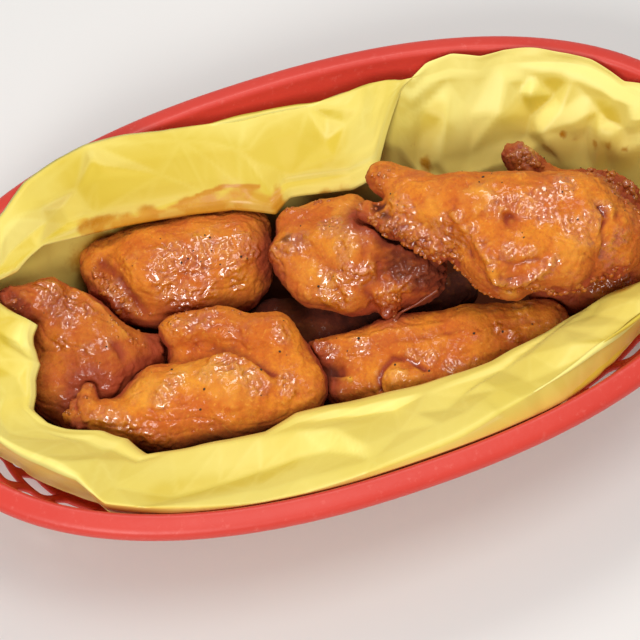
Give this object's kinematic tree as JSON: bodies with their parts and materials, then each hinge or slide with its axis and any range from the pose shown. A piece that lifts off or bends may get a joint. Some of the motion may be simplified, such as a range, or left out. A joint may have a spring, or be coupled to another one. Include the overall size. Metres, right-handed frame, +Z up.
{
  "type": "chicken wings serving",
  "caption": "Sauced chicken wings heaped in an oval plastic serving basket with a slotted wall, lined with folded deli paper.",
  "frame": {"origin": "centre of the flat underside of the basket, on the surface it stands on", "axes": "+Z up; +X along the basket's length, towards the end where the topmost wing lies; +Y away from the side with the wide paper flap"},
  "size_m": [0.238, 0.138, 0.0604],
  "materials": {
    "basket_plastic": "glossy moulded red plastic",
    "liner_paper": "thin waxed yellow deli paper, creased and grease stained",
    "sauced_skin": "fried chicken skin under a wet orange brown hot sauce"
  },
  "bodies": {
    "root": {"basket": "basket_plastic", "liner": "liner_paper", "wing_top_right": "sauced_skin", "wing_middle": "sauced_skin", "wing_front_left": "sauced_skin", "wing_left": "sauced_skin", "wing_front_right": "sauced_skin", "wing_far_left": "sauced_skin", "wing_under_right": "sauced_skin", "wing_under_middle": "sauced_skin"}
  },
  "joints": []
}
